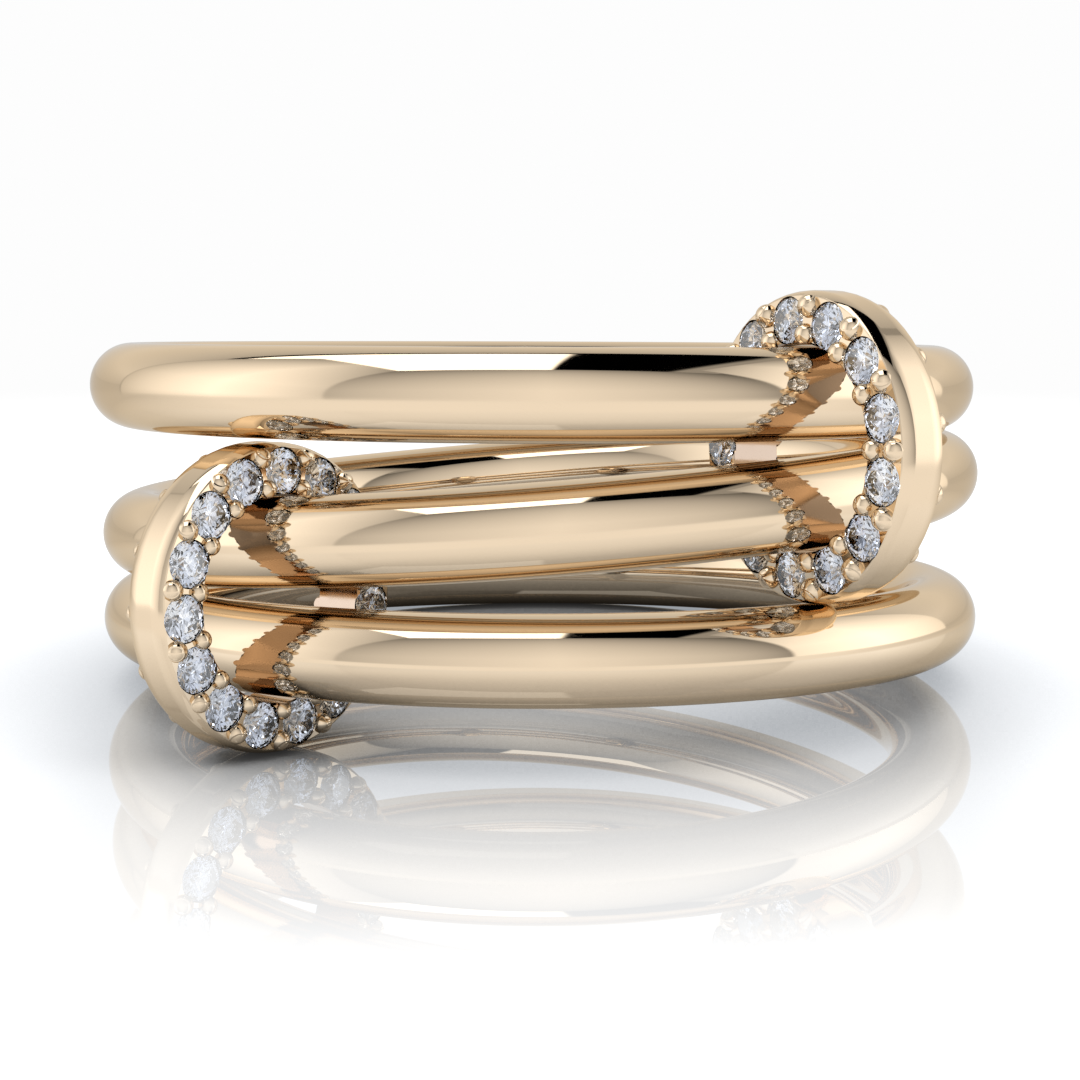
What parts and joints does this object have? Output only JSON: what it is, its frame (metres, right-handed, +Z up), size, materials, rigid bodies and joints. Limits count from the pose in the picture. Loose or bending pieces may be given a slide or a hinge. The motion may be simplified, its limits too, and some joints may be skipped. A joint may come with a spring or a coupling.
{
  "type": "interlocking ring",
  "caption": "Stack of plain round-wire gold bands linked by small connector rings with pave-set round stones, lying on a surface.",
  "frame": {"origin": "middle of the stack's box, on the surface it lies on", "axes": "+Z up through the finger hollow, -Y the front with the two connector rings, +X to the right"},
  "size_m": [0.0216, 0.0214, 0.01],
  "materials": {
    "bands": "polished rose gold",
    "connectors": "polished rose gold",
    "stones": "brilliant-cut clear stone"
  },
  "bodies": {
    "root": {"band_top": "bands", "band_middle": "bands", "band_bottom": "bands", "connector_left": "connectors", "connector_right": "connectors", "stones_left_front": "stones", "stones_left_back": "stones", "stones_right_front": "stones", "stones_right_back": "stones"}
  },
  "joints": []
}
